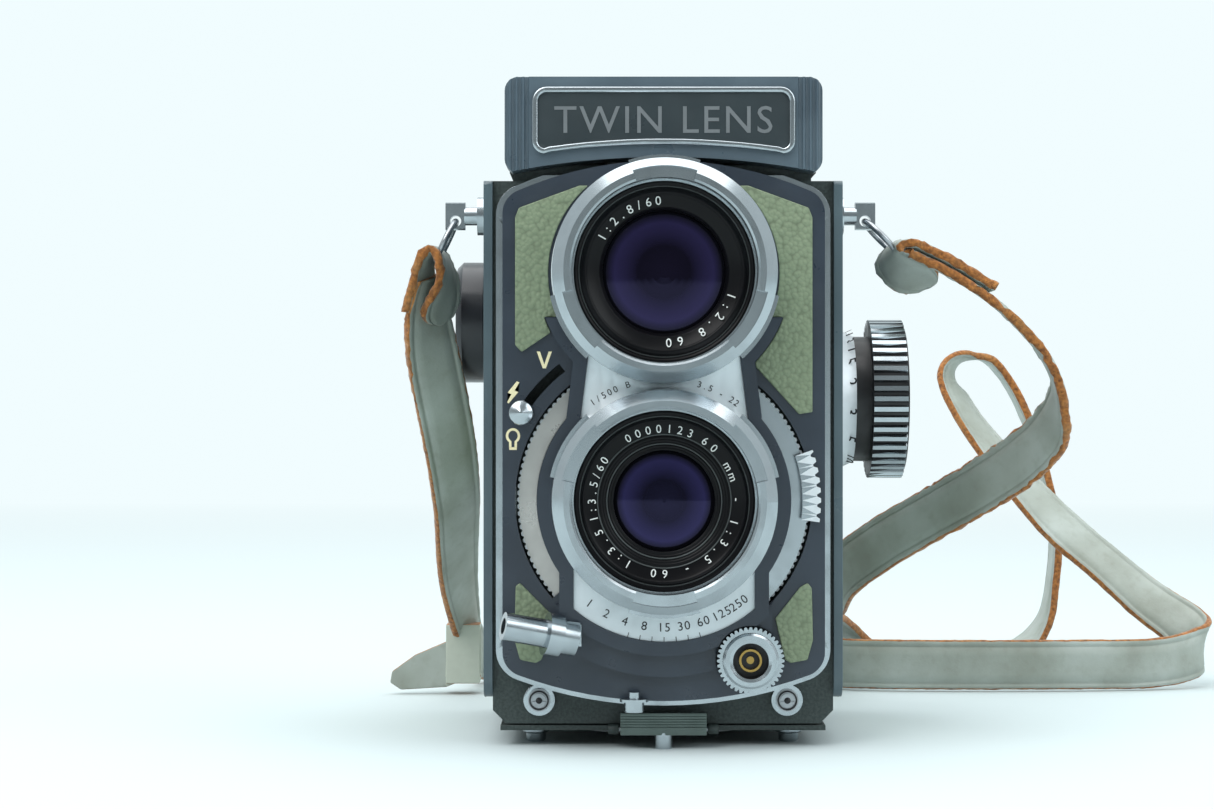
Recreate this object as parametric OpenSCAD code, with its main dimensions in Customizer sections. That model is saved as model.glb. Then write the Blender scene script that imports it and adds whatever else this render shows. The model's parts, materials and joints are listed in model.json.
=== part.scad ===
// Twin lens reflex camera for 4 x 4 cm pictures on roll film, with its neck strap.
// X points right as seen from the front, Y from the front to the back, Z up, in millimetres.
// The origin lies on the tripod socket's axis, in the plane that the feet stand on.

/* [Body] */
// Width of the body casting, without its side covers
body_w = 63.8; // [63.4:0.1:64.2]
// Distance from the tripod socket's axis forward to the body's front face
body_front = 33; // [32.8:0.1:33.2]
// Distance from the tripod socket's axis back to the casting's open rear
body_rear = 30.2; // [30:0.1:30.3]
// Height of the body's underside above the feet
body_base = 4.2; // [4.2:0.1:4.5]
// Height of the body's shoulders
body_top = 105.9; // [105.8:0.1:106]
// Thickness of the casting's walls
wall = 1.6; // [1.5:0.1:1.7]
// Thickness of a side cover
cover = 1.7; // [1.5:0.1:1.9]

/* [Lenses] */
// Height of the taking lens's axis
taking_z = 46.3; // [46.2:0.1:46.4]
// Distance between the two lens axes
lens_gap = 42; // [41.9:0.1:42.1]
// Radius of a lens bezel
bezel_r = 20.5; // [20.2:0.1:20.6]
// Bore of the bayonet ring in a bezel
bayonet_r = 16.9; // [16.8:0.1:17.1]
// Depth from the bezels' front rims back to the tripod socket's axis
bezel_front = 53; // [52.5:0.1:54]
// Radius of the viewing lens's front glass
viewing_glass_r = 11.4; // [11:0.1:11.6]
// Radius of the taking lens's front glass
taking_glass_r = 9.3; // [9:0.1:9.6]

/* [Controls] */
// Radius of the film winding knob
wind_r = 12.3; // [11.5:0.1:12.6]
// Radius of the focusing knob
focus_r = 15.6; // [15:0.1:16]
// Number of ribs round the focusing knob
focus_ribs = 48; // [40:4:56]
// Radius of the milled shutter and aperture rings
ring_r = 27.2; // [27:0.1:27.3]

/* [Strap] */
// Width of the leather strap
strap_w = 11; // [10:0.5:12]
// Thickness of the leather strap
strap_t = 1.8; // [1.4:0.1:2]

/* [Hidden] */
$fn = 64;

viewing_z = taking_z + lens_gap;
half_w = body_w / 2;
side_x = half_w + cover;
run_gap = 0.05;                 // radial clearance of a shaft in its bearing

// Depths of the moving lens board's layers
board_back = -34.5;
board_face = -40;
plate_skin = 1.6;
face_front = -43;
rib_front = -43.5;
boss_front = -41.8;
name_front = -46.5;

// Axes of the knobs and spools, as [y, z]; the wind knob turns the take-up spool directly
wind_axis = [18, 80.8];
focus_axis = [-3, 65.1];
supply_axis = [13, 16.5];
roller_y = 27;
roller_z = [23, 70];
shaft_r = 3;
axle_r = 1.5;
spool_r = 9.6;
spool_half = 24.7;

// The hood's hinges, as [x or y, z], and its sizes
lid_hinge = [-29.8, 124];
side_hinge = [26.8, 110.5];
back_hinge = [24, 113];
magnifier_hinge = [16.2, 119.8];
hood_floor = 107.5;
hood_top = 124.8;
lid_x = 28.8;
lid_rear = 26.5;
pin_r = 0.45;
pin_bore = 0.5;
knuckle_r = 0.85;

// The back door's hinge and panels
door_hinge = [31.7, 104.6];
door_in = 30.4;
door_out = 32.6;
door_base = [2.9, 3.9];
latch_hinge = [-35.4, 3.4];

// The release, and the direction it points, as turns about Y and Z
release_at = [-20.6, -45.2, 21.8];
release_turn = [0, 79, 195];
release_r = 2.6;
flash_at = [15.9, 16.9];
screw_at = [23.2, 8.7];
lug_at = [-5, 101.1];           // [y, z] of both strap lugs
lug_hole = [40.3, 100.1];       // [x, z] of the holes for the wire rings

// Colours
dark_body = "#3a4442";
blue_grey = "#343e4c";
sage = "#97a58c";
satin = "#c3cdd3";
black = "#141416";
steel = "#9aa0a6";

// Helpers ------------------------------------------------------------------

// A cylinder along Y, from its front end y0 to its rear end y1
module rod_y(x, z, r, y0, y1) translate([x, y1, z]) rotate([90, 0, 0]) cylinder(r = r, h = y1 - y0);
// A cylinder along X
module rod_x(y, z, r, x0, x1) translate([x0, y, z]) rotate([0, 90, 0]) cylinder(r = r, h = x1 - x0);
// An outline in X and Z, made solid from y0 back to y1
module slab(y0, y1) translate([0, y1, 0]) rotate([90, 0, 0]) linear_extrude(y1 - y0) children();
// An outline in Y and Z, made solid from x0 to x1
module panel(x0, x1) translate([x0, 0, 0]) rotate([90, 0, 90]) linear_extrude(x1 - x0) children();
// A shape turned about a lens axis, from an outline of radius and distance forward
module turned(x, z) translate([x, 0, z]) rotate([90, 0, 0]) rotate_extrude() children();
// A block between two corners
module block(a, b) translate(a) cube(b - a);
module both_sides() { children(); mirror([1, 0, 0]) children(); }

function arc(x, y, r, a0, a1, n) =
    [for (i = [0:n]) let (a = a0 + (a1 - a0) * i / n) [x + r * cos(a), y + r * sin(a)]];
// A ring with teeth, as points: n teeth between radii r0 and r1
function toothed(n, r0, r1, root, tip) =
    [for (i = [0:n - 1], k = [[-root, r0], [-tip, r1], [tip, r1], [root, r0]])
        let (a = (i + k[0] / 2) * 360 / n) k[1] * [cos(a), sin(a)]];

module ring_sector(r0, r1, a0, a1) intersection() {
    difference() {
        circle(r1);
        circle(r0);
    }
    polygon(concat([[0, 0]], arc(0, 0, 2 * r1, a0, a1, 8)));
}

// Outline of the lens board: straight sides, and a shallow arc at the top and at the bottom
function board_outline(grow) =
    let (corner = 4.5 + grow, cx = 25.35, top_r = 68 + grow, low_r = 78 + grow,
        top_c = 41.2, low_c = 87.1,
        top_z = top_c + sqrt(pow(top_r - corner, 2) - cx * cx),
        low_z = low_c - sqrt(pow(low_r - corner, 2) - cx * cx),
        a = atan2(top_z - top_c, cx), b = atan2(low_c - low_z, cx))
    concat(arc(cx, top_z, corner, 0, a, 8), arc(0, top_c, top_r, a, 180 - a, 16),
        arc(-cx, top_z, corner, 180 - a, 180, 8), arc(-cx, low_z, corner, 180, 180 + b, 8),
        arc(0, low_c, low_r, 180 + b, 360 - b, 16), arc(cx, low_z, corner, 360 - b, 360, 8));

// Outline of the silver face plate round both lenses, grown by a margin
module face_outline(grow) {
    waist_top = 73.5;
    waist_low = 61.5;
    translate([0, viewing_z]) circle(bezel_r + 0.3 + grow);
    translate([0, taking_z]) circle(bezel_r + 0.3 + grow);
    polygon([[-13.9 - grow, waist_top], [13.9 + grow, waist_top],
        [15.4 + grow, waist_low], [-15.4 - grow, waist_low]]);
    intersection() {
        translate([0, taking_z]) circle(26 + grow);
        translate([-16.7 - grow, 0]) square([33.4 + 2 * grow, taking_z]);
    }
}

// Body ---------------------------------------------------------------------

module body_outline(grow) {
    chamfer = 2.5;
    w = half_w + grow;
    polygon([[-w + chamfer, body_base - grow], [w - chamfer, body_base - grow],
        [w, body_base + chamfer], [w, body_top + grow], [-w, body_top + grow],
        [-w, body_base + chamfer]]);
}

module body_shell() color(dark_body) difference() {
    screen_seat = [[-22.2, -14], [22.2, 26.2]];
    union() {
        difference() {
            slab(-body_front, body_rear) body_outline(0);
            slab(-body_front + wall, body_rear + 1) body_outline(-wall);
        }
        // Neck that carries the hood
        block([-27.9, -31.1, body_top], [27.9, 28, hood_floor]);
        // Lugs of the back door's hinge
        both_sides() {
            rod_x(door_hinge[0], door_hinge[1], 1.25, 24.3, 27);
            block([24.3, body_rear, door_hinge[1] - 1.25], [27, door_hinge[0], door_hinge[1] + 1.25]);
        }
        // Bearings of the rollers and spools
        for (z = roller_z) both_sides() rod_x(roller_y, z, 1.8, 26, half_w - 1);
        both_sides() rod_x(supply_axis[0], supply_axis[1], 3.5, spool_half + 0.4, half_w - 1);
        rod_x(wind_axis[0], wind_axis[1], 3.5, spool_half + 0.4, half_w - 1);
    }
    both_sides() rod_x(supply_axis[0], supply_axis[1], axle_r + run_gap, spool_half, 28.5);
    for (z = roller_z) both_sides() rod_x(roller_y, z, axle_r / 2 + run_gap, 23, 28.5);
    rod_x(wind_axis[0], wind_axis[1], axle_r + run_gap, spool_half, 28.5);
    // Light openings for the lenses, and holes for the lens board's guide rods
    rod_y(0, viewing_z, 15, -body_front - 1, -body_front + 2 * wall);
    rod_y(0, taking_z, 22.3, -body_front - 1, -body_front + 2 * wall);
    for (x = [-27.5, 27.5], z = [21, 97]) rod_y(x, z, axle_r + run_gap, -body_front - 1, -28);
    // Shaft holes of the two knobs
    rod_x(wind_axis[0], wind_axis[1], shaft_r + run_gap, -half_w - 1, -half_w + 2 * wall);
    rod_x(focus_axis[0], focus_axis[1], shaft_r + run_gap, half_w - 2 * wall, half_w + 1);
    // Hinge pin of the door
    rod_x(door_hinge[0], door_hinge[1], 0.7, -28, 28);
    // Openings for the focusing screen above and for loading film below
    block([-20.5, -12.5, body_top - 3], [20.5, 24.5, hood_floor + 1]);
    block([screen_seat[0][0], screen_seat[0][1], body_top], [screen_seat[1][0], screen_seat[1][1], hood_floor + 1]);
    block([-25.6, -8, body_base - 1], [25.6, body_rear + 1, body_base + 3]);
}

module side_cover(hole_axis) difference() {
    panel(half_w, side_x) {
        y0 = board_back;
        y1 = 28;
        round_r = 4;
        z0 = 9;
        polygon(concat(arc(y1 - round_r, body_top - round_r, round_r, 0, 90, 8),
            arc(y0 + 1, body_top - 1, 1, 90, 180, 4), arc(y0 + round_r, z0 + round_r, round_r, 180, 270, 8),
            arc(y1 - round_r, z0 + round_r, round_r, 270, 360, 8)));
    }
    rod_x(hole_axis[0], hole_axis[1], shaft_r + 0.5, half_w - 1, side_x + 1);
    // Clear of the lens board's guide and of the shell in front of the body
    block([half_w - 1, board_back - 1, 0], [half_w, -body_front, 120]);
}

module side_cover_left() color(blue_grey) mirror([1, 0, 0]) side_cover(wind_axis);
module side_cover_right() color(blue_grey) side_cover(focus_axis);

module front_trim() color(satin) difference() {
    slab(-body_front - 1.2, -body_front) {
        difference() {
            polygon(board_outline(1.45));
            polygon(board_outline(-2.4));
        }
        both_sides() translate(screw_at) circle(2.95);
    }
    for (x = [-27.5, 27.5], z = [21, 97]) rod_y(x, z, axle_r + 0.2, -40, -30);
    // The hood's front covers the trim's top edge
    block([-40, -40, 106.9], [40, -30, 120]);
}

module trim_screws() color(steel) both_sides() difference() {
    union() {
        rod_y(screw_at[0], screw_at[1], 2.1, -body_front - 1.8, -body_front - 1.2);
        rod_y(screw_at[0], screw_at[1], 1.3, -body_front - 2.3, -body_front - 1.8);
    }
    block([screw_at[0] - 1.5, -body_front - 2.5, screw_at[1] - 0.2],
        [screw_at[0] + 1.5, -body_front - 1.9, screw_at[1] + 0.2]);
}

// Finder -------------------------------------------------------------------

mirror_mid = [7.3, viewing_z];  // where the viewing lens's axis meets the mirror, as [y, z]
mirror_half = 23;
mirror_t = 2;

// A flat strip along the mirror's 45 degree slope, between two depths behind its face
module slope_strip(x, d0, d1) panel(-x, x) translate(mirror_mid) rotate(45)
    translate([-mirror_half, -d1]) square([2 * mirror_half - 1.5, d1 - d0]);

module mirror_box() color(black) {
    low = mirror_mid - mirror_half * [cos(45), sin(45)];
    both_sides() panel(23.4, 24.4) polygon([[-27, low[1]], [low[0], low[1]],
        [body_top - wall - low[1] + low[0], body_top - wall], [-27, body_top - wall]]);
    slope_strip(23.4, mirror_t, mirror_t + 1);
    block([-23.4, -27, low[1]], [23.4, low[0], low[1] + 1]);
}

module reflex_mirror() color("#dfe6ea") slope_strip(22.5, 0, mirror_t);

module focusing_screen() color("#e8eee8") block([-22, -13.8, body_top], [22, 26, body_top + 1.4]);

// Film transport -----------------------------------------------------------

module film_gate() color(black) difference() {
    block([-half_w + wall, 24.6, 26.6], [half_w - wall, 26.6, 66.4]);
    block([-20.2, 20, 27.8], [20.2, 30, 64.8]);
}

module roller(z) {
    rod_x(roller_y, z, 1.6, -23, 23);
    both_sides() rod_x(roller_y, z, axle_r / 2, 23, 28);
}

module roller_top() color(steel) roller(roller_z[1]);
module roller_bottom() color(steel) roller(roller_z[0]);

module spool() {
    for (x = [-spool_half, spool_half - 1]) rod_x(0, 0, spool_r, x, x + 1);
    rod_x(0, 0, 4.5, -spool_half + 1, spool_half - 1);
}

module supply_spool() color(black) translate([0, supply_axis[0], supply_axis[1]]) {
    spool();
    rod_x(0, 0, 8.6, -22.5, 22.5);
    both_sides() rod_x(0, 0, axle_r, spool_half, 28);
}

module take_up_spool() color(black) translate([0, wind_axis[0], wind_axis[1]]) {
    spool();
    rod_x(0, 0, axle_r, spool_half, 28);
}

module wind_knob() color(blue_grey) translate([0, wind_axis[0], wind_axis[1]]) {
    knob_in = -side_x - 0.5;
    knob_out = -41;
    rod_x(0, 0, shaft_r, knob_in, -spool_half);
    rotate([0, -90, 0]) rotate_extrude() polygon([[0, -knob_in], [wind_r - 1, -knob_in],
        [wind_r - 1, -knob_in + 1], [wind_r, -knob_in + 1.4], [wind_r, -knob_out - 1.2],
        [wind_r - 1.2, -knob_out], [0, -knob_out]]);
}

dial_in = side_x + 0.4;
dial_out = 37.9;

module focus_knob() color(black) translate([0, focus_axis[0], focus_axis[1]]) {
    knurl_in = 41;
    knurl_out = 47.6;
    rod_x(0, 0, shaft_r, half_w - 4, dial_out);
    rod_x(0, 0, 6, half_w - 4, half_w - 2);
    rod_x(0, 0, 12.3, dial_out, knurl_in);
    panel(knurl_in, knurl_out) polygon(toothed(focus_ribs, focus_r - 0.7, focus_r, 0.72, 0.44));
    rod_x(0, 0, focus_r - 1.5, knurl_out, knurl_out + 0.4);
}

module focus_dial() color("#dcdfe0") translate([0, focus_axis[0], focus_axis[1]]) difference() {
    rotate([0, 90, 0]) rotate_extrude() polygon([[shaft_r, dial_in], [13.9, dial_in],
        [13.9, dial_in + 0.8], [12.5, dial_out], [shaft_r, dial_out]]);
    rod_x(0, 0, shaft_r, dial_in - 1, dial_out + 1);
}

// Hood ---------------------------------------------------------------------

module hood_base() color(dark_body) difference() {
    union() {
        block([-lid_x, -31.2, hood_floor], [lid_x, lid_rear + 0.3, 109]);
        both_sides() {
            for (y = [-29, 21.6]) block([25.9, y, 109], [27.6, y + 1.4, 111.4]);
            block([24.5, 23, 109], [26.3, 25, 114]);
        }
    }
    block([-20.8, -13, hood_floor - 1], [20.8, 25, 110]);
    both_sides() rod_y(side_hinge[0], side_hinge[1], pin_r, -30, 23);
    rod_x(back_hinge[0], back_hinge[1], pin_r, -27, 27);
}

module fascia_outline(grow) difference() {
    side = 29.5 + grow;
    corner = 2.5 + grow;
    polygon(concat(arc(side - corner, hood_top + grow - corner, corner, 0, 90, 6),
        arc(-side + corner, hood_top + grow - corner, corner, 90, 180, 6),
        arc(-side + corner, 107 + corner, corner, 180, 270, 6),
        arc(side - corner, 107 + corner, corner, 270, 360, 6)));
    translate([0, 109.9 - 151]) circle(151, $fn = 180);
}

module hood_front() color(blue_grey) {
    front = -39;
    rear = -31.2;
    difference() {
        slab(front, rear) fascia_outline(0);
        // Vertical flutes at both ends of the front
        both_sides() for (i = [0:3]) translate([25.4 + 1.25 * i, front, 100]) cylinder(r = 0.45, h = 40);
        // Hollow behind
        block([-24, -37.4, 111.5], [24, rear + 1, 123]);
    }
    both_sides() difference() {
        block([25, rear, 123.2], [27.4, -29.2, hood_top]);
        rod_x(lid_hinge[0], lid_hinge[1], pin_r, 24, 28);
    }
}

module name_outline(grow) {
    polygon(concat(arc(21.7, 120.2, 2.7 + grow, 0, 90, 6), arc(-21.7, 120.2, 2.7 + grow, 90, 180, 6),
        arc(-22, 112.8, 2.4 + grow, 180, 265, 6), arc(0, -40, 152.2 - grow, 98, 82, 12),
        arc(22, 112.8, 2.4 + grow, 275, 360, 6)));
}

module name_frame() color(satin) slab(-39.9, -39) difference() {
    name_outline(0);
    name_outline(-1.1);
}

module name_panel() color(black) slab(-39.4, -39) name_outline(-1.1);

module hood_lid() color(blue_grey) difference() {
    plate_z = 123.4;
    skirt_z = 109.4;
    front = -30.45;
    union() {
        difference() {
            block([-lid_x, front, skirt_z], [lid_x, lid_rear, hood_top]);
            block([-lid_x + 0.85, front - 1, skirt_z - 1], [lid_x - 0.85, lid_rear - 0.85, plate_z]);
        }
        rod_x(lid_hinge[0], lid_hinge[1], 0.75, -24.5, 24.5);
        // Ears of the magnifier's pin
        both_sides() block([11.3, 15.2, 118.9], [12.5, 17.2, plate_z]);
    }
    rod_x(lid_hinge[0], lid_hinge[1], pin_bore, -30, 30);
    rod_x(magnifier_hinge[0], magnifier_hinge[1], pin_r, -13, 13);
    // Room for the ears on the fixed front, and for the skirts to turn
    both_sides() block([24.7, front - 1, plate_z - 1], [27.7, -28.2, hood_top + 1]);
    both_sides() block([lid_x - 1, front - 1, skirt_z - 1], [lid_x + 1, -29.5, hood_top + 1]);
}

// A side flap lying flat, its hinge along Y at x = 0 and its free edge towards +X
module side_flap() {
    height = 16.4;
    y0 = -27.3;
    y1 = 21.3;
    slope = 0.5;
    difference() {
        union() {
            translate([0, 0, -0.4]) linear_extrude(0.8) polygon([[0, y0 + 0.8], [0, y1 - 0.8],
                [height, y1 - 0.8 - slope * height], [height, y0 + 0.8 + slope * height]]);
            rod_y(0, 0, knuckle_r, y0, y1);
        }
        rod_y(0, 0, pin_bore, y0 - 1, y1 + 1);
    }
}

module hood_flap_left() color(black) translate([-side_hinge[0], 0, side_hinge[1]]) side_flap();
module hood_flap_right() color(black) mirror([1, 0, 0]) translate([-side_hinge[0], 0, side_hinge[1]]) side_flap();

module hood_flap_back() color(black) translate([0, back_hinge[0], back_hinge[1]]) difference() {
    height = 20;
    union() {
        translate([0, 0, -0.4]) linear_extrude(0.8)
            polygon([[-24.2, 0], [24.2, 0], [18, -height], [-18, -height]]);
        rod_x(0, 0, knuckle_r, -24.2, 24.2);
    }
    rod_x(0, 0, pin_bore, -30, 30);
}

module hood_pins() color(steel) {
    rod_x(lid_hinge[0], lid_hinge[1], pin_r, -27.4, 27.4);
    rod_x(back_hinge[0], back_hinge[1], pin_r, -26.3, 26.3);
    both_sides() rod_y(side_hinge[0], side_hinge[1], pin_r, -29, 23);
}

magnifier_mid = [0, 1.5];       // centre of the magnifier, as [x, y]

module magnifier_frame() color(black) difference() {
    z = magnifier_hinge[1];
    union() {
        translate([0, 0, z - 0.5]) linear_extrude(1) {
            translate(magnifier_mid) circle(10);
            polygon([[-6, 4], [6, 4], [10.4, magnifier_hinge[0]], [-10.4, magnifier_hinge[0]]]);
        }
        rod_x(magnifier_hinge[0], z, knuckle_r, -11, 11);
    }
    rod_x(magnifier_hinge[0], z, pin_bore, -12, 12);
    translate([magnifier_mid[0], magnifier_mid[1], z - 2]) cylinder(r = 8.4, h = 4);
}

module magnifier_lens() color("#dfe8f0") translate([0, magnifier_mid[1], magnifier_hinge[1]])
    rotate_extrude() polygon(concat([[0, -1.6]], arc(0, 21.4, 23, -84, -69, 6), arc(0, -21.4, 23, 69, 90, 6)));

module magnifier_pin() color(steel) rod_x(magnifier_hinge[0], magnifier_hinge[1], pin_r, -12.5, 12.5);

// Back door ----------------------------------------------------------------

module back_door() color(dark_body) difference() {
    side = 31.7;
    union() {
        block([-side, door_in, 6], [side, door_out, 103]);
        block([-30.5, door_in, door_base[0]], [30.5, door_out, 6]);
        block([-30.5, -body_front, door_base[0]], [30.5, door_in, door_base[1]]);
        rod_x(door_hinge[0], door_hinge[1], 1.25, -24, 24);
        block([-24, door_in + 0.2, 103], [24, door_out, door_hinge[1]]);
        // Lugs that carry the latch
        both_sides() {
            block([8.3, -36.2, door_base[0]], [10.3, -body_front, door_base[1]]);
            rod_x(latch_hinge[0], latch_hinge[1], 0.95, 8.3, 10.3);
        }
    }
    rod_x(door_hinge[0], door_hinge[1], 0.7 + run_gap, -25, 25);
    rod_x(latch_hinge[0], latch_hinge[1], pin_r, -11, 11);
    translate([0, 0, 2]) cylinder(r = 6, h = 3);
}

module door_pin() color(steel) rod_x(door_hinge[0], door_hinge[1], 0.7, -27, 27);

module pressure_plate() color(black) {
    block([-20.5, 27.6, 28], [20.5, 28.6, 65]);
    block([-8, 28.6, 36], [8, door_in, 57]);
}

module tripod_plate() color(steel) difference() {
    union() {
        translate([0, 0, 0.5]) cylinder(r = 18, h = door_base[0] - 0.5);
        translate([0, 0, door_base[0]]) cylinder(r = 6, h = 3.1);
    }
    translate([0, 0, -1]) cylinder(r = 3.175, h = 6.2);
}

module feet() color(steel) for (x = [-24, 24], y = [-25, 25]) translate([x, y, 0]) rotate_extrude()
    polygon([[0, 0], [1.5, 0], [1.9, 0.4], [1.9, 1.6], [2.5, 1.9], [2.5, door_base[0]], [0, door_base[0]]]);

module door_latch() color(dark_body) difference() {
    tab_front = -38.6;
    tab_back = -36.7;
    union() {
        block([-8, tab_front + 0.4, 2.6], [8, tab_back, 6.65]);
        block([-8, tab_front, 2.6], [8, tab_front + 0.4, 4]);
        for (i = [0:4]) block([-8, tab_front, 4.25 + 0.5 * i], [8, tab_front + 0.4, 4.5 + 0.5 * i]);
        block([-8, tab_back, 2.7], [8, latch_hinge[0], 4.1]);
        rod_x(latch_hinge[0], latch_hinge[1], 0.95, -8, 8);
        // Hook that holds the door shut
        block([-5, tab_back, 5.6], [5, -body_front - 0.4, 6.4]);
        rod = [0, -37];
        translate([rod[0], rod[1], 0]) cylinder(r = 1.65, h = 3);
    }
    rod_x(latch_hinge[0], latch_hinge[1], pin_bore, -9, 9);
}

module latch_pin() color(steel) rod_x(latch_hinge[0], latch_hinge[1], pin_r, -10.3, 10.3);

// Lens board ---------------------------------------------------------------

lever_r = 30.9;                 // radius of the sync lever's slot about the taking axis
lever_a = 148.5;                // angle of its knob at rest
lever_travel = -19.5;

module front_plate() color(blue_grey) difference() {
    union() {
        slab(board_face, board_back) polygon(board_outline(0));
        slab(rib_front, board_face) intersection() {
            polygon(board_outline(-0.8));
            translate([-40, 0]) square([80, 80]);
            difference() {
                face_outline(2.6);
                face_outline(0);
            }
        }
        // Raised boss under the face plate
        slab(boss_front, board_face) difference() {
            intersection() {
                translate([0, taking_z]) circle(32.6);
                translate([-20, 0]) square([40, 27]);
            }
            face_outline(2.5);
        }
    }
    // Seats of the release and of the flash socket, in the rib and the boss
    release_body(0.05);
    slab(rib_front - 1, board_face) translate(flash_at) circle(6.4);
    rod_y(0, viewing_z, 14, board_face - 1, board_back + 1);
    rod_y(0, taking_z, 16.5, board_face - 1, board_back + 1);
    // Pocket for the shutter and its rings, and the two windows that show the rings
    rod_y(0, taking_z, 28, board_face + plate_skin, board_back + 1);
    slab(board_face - 1, board_back) translate([0, taking_z]) {
        ring_sector(23.5, 27.5, 127, 221.5);
        ring_sector(23.5, 27.5, -45.5, 53.5);
        // Slot of the sync lever
        ring_sector(lever_r - 0.9, lever_r + 0.9, lever_a + lever_travel - 1.5, lever_a + 1.5);
    }
    slab(board_face + plate_skin, board_back + 1) translate([0, taking_z])
        ring_sector(lever_r - 1.6, lever_r + 1.3, lever_a + lever_travel - 4.2, lever_a + 4.2);
}

function inset_upper(s) = [[27.5 * s, 75], [27.5 * s, 98.6], [26.8 * s, 100.4], [15.6 * s, 104.5],
    [10 * s, 104.5], [10 * s, 76]];

// What the leather stays clear of round the face plate and its rib
module inset_margin() {
    face_outline(0.6);
    intersection() {
        face_outline(2.8);
        translate([-40, 0]) square([80, 80.2]);
    }
}

module leather_panels() color(sage) slab(board_face - 0.5, board_face) {
    difference() {
        polygon(concat([[-26.3, 73.7]], inset_upper(-1), [[-16.6, 75.6], [-19.6, 78.2]]));
        inset_margin();
    }
    difference() {
        polygon(concat([[27.5, 62.6], [27.5, 75]], inset_upper(1), [[16.8, 74.6], [16.8, 71.2], [25, 62.2]]));
        inset_margin();
        translate([0, taking_z]) circle(28.6);
    }
    polygon([[-27.6, 20.4], [-27.4, 30.4], [-26.6, 31], [-20.6, 25], [-20.4, 23.6], [-22.6, 16.8], [-23.6, 16.2],
        [-26.6, 16.8]]);
    polygon([[27.6, 20.4], [27.4, 30], [26.6, 31], [25.2, 30.2], [20.6, 24.4], [22.4, 16.8], [23.4, 16.2],
        [26.6, 16.8]]);
}

module face_plate() color(satin) slab(face_front, board_face) difference() {
    face_outline(0);
    translate([0, viewing_z]) circle(14);
    translate([0, taking_z]) circle(16.5);
}

module guide_rods() color(steel) for (x = [-27.5, 27.5], z = [21, 97]) rod_y(x, z, axle_r, board_back, -12);

// A chromed bezel with the bayonet's three notches and three outer lugs
module bezel(z, first_notch) {
    difference() {
        turned(0, z) polygon([[bayonet_r, -name_front], [bayonet_r, bezel_front - 0.4], [bayonet_r + 0.4, bezel_front],
            [18.4, bezel_front], [bezel_r, bezel_front - 2.2], [bezel_r, -face_front], [16.5, -face_front],
            [16.5, -name_front]]);
        slab(-bezel_front - 1, -bezel_front + 1.4) translate([0, z]) for (i = [0:2])
            ring_sector(10, 19, first_notch + 120 * i - 18, first_notch + 120 * i + 18);
    }
    slab(-47, -45.6) translate([0, z]) for (i = [0:2])
        ring_sector(bezel_r - 0.5, bezel_r + 0.9, first_notch + 120 * i - 18, first_notch + 120 * i + 18);
}

module viewing_bezel() color(satin) bezel(viewing_z, 90);
module taking_bezel() color(satin) bezel(taking_z, 30);

module name_ring(z, glass_r) turned(0, z)
    polygon([[glass_r, -face_front], [16.5, -face_front], [16.5, -name_front], [15.8, -name_front],
        [glass_r + 0.6, -face_front + 1.6], [glass_r, -face_front + 1.2]]);

module viewing_name_ring() color(black) name_ring(viewing_z, viewing_glass_r);
module taking_name_ring() color(black) name_ring(taking_z, taking_glass_r);

// A lens with a domed front: radius, and the distances forward of its back, edge and crown
module lens_glass(z, r, back, edge, crown) turned(0, z) {
    dome = (r * r + pow(crown - edge, 2)) / (2 * (crown - edge));
    a = asin(r / dome);
    polygon(concat([[0, back], [r, back]], arc(0, crown - dome, dome, 90 - a, 90, 10)));
}

module viewing_lens() color("#3c3a5c") lens_glass(viewing_z, viewing_glass_r, -face_front, 44, 45.6);
module taking_lens() color("#33335a") lens_glass(taking_z, taking_glass_r, -face_front, 43.6, 45);

module shutter_housing() color(black) {
    turned(0, taking_z) polygon([[10, 26], [12, 26], [12, 29], [21.5 - run_gap, 29],
        [21.5 - run_gap, -board_face - plate_skin], [16.5, -board_face - plate_skin], [16.5, -face_front],
        [9, -face_front], [9, 35], [17, 35], [17, 33.5], [10, 33.5]]);
    // Barrel of the viewing lens
    turned(0, viewing_z) polygon([[12, 28.5], [14, 28.5], [14, -face_front], [12, -face_front]]);
}

module shutter_blades() color("#26282c") slab(-34.6, -34) translate([0, taking_z])
    for (i = [0:4]) ring_sector(0.4, 16.5, 72 * i, 72 * i + 70);

ring_front = -37.9;
ring_back = -35;
hub_split = [-36.5, -36.3];

// One of the two milled rings: a hub in its own layer, and a sector that fills both
module milled_ring(hub_y0, hub_y1, a0, a1) difference() {
    teeth = 132;
    union() {
        slab(hub_y0, hub_y1) translate([0, taking_z]) circle(23.4);
        slab(hub_y0, hub_y1) translate([0, taking_z]) ring_sector(23, 24, a0, a1);
        slab(ring_front, ring_back) translate([0, taking_z]) intersection() {
            polygon(toothed(teeth, ring_r - 0.35, ring_r, 0.8, 0.4));
            ring_sector(23.6, ring_r + 1, a0, a1);
        }
    }
    rod_y(0, taking_z, 21.5, ring_front - 1, ring_back + 1);
}

module aperture_ring() color(satin) milled_ring(hub_split[1], ring_back, 119, 239);

module speed_ring() color(satin) {
    tab_back = board_face - 0.7;
    milled_ring(ring_front, hub_split[0], -70, 70);
    // Toothed finger tab in front of the lens board
    slab(-41.6, tab_back) translate([0, taking_z]) intersection() {
        polygon(toothed(96, 28.3, 29, 0.8, 0.4));
        ring_sector(25.6, 30, -8, 18.7);
    }
    slab(tab_back - 0.2, ring_front + 0.5) translate([0, taking_z]) ring_sector(25.9, 26.6, -7, 17.6);
}

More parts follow.
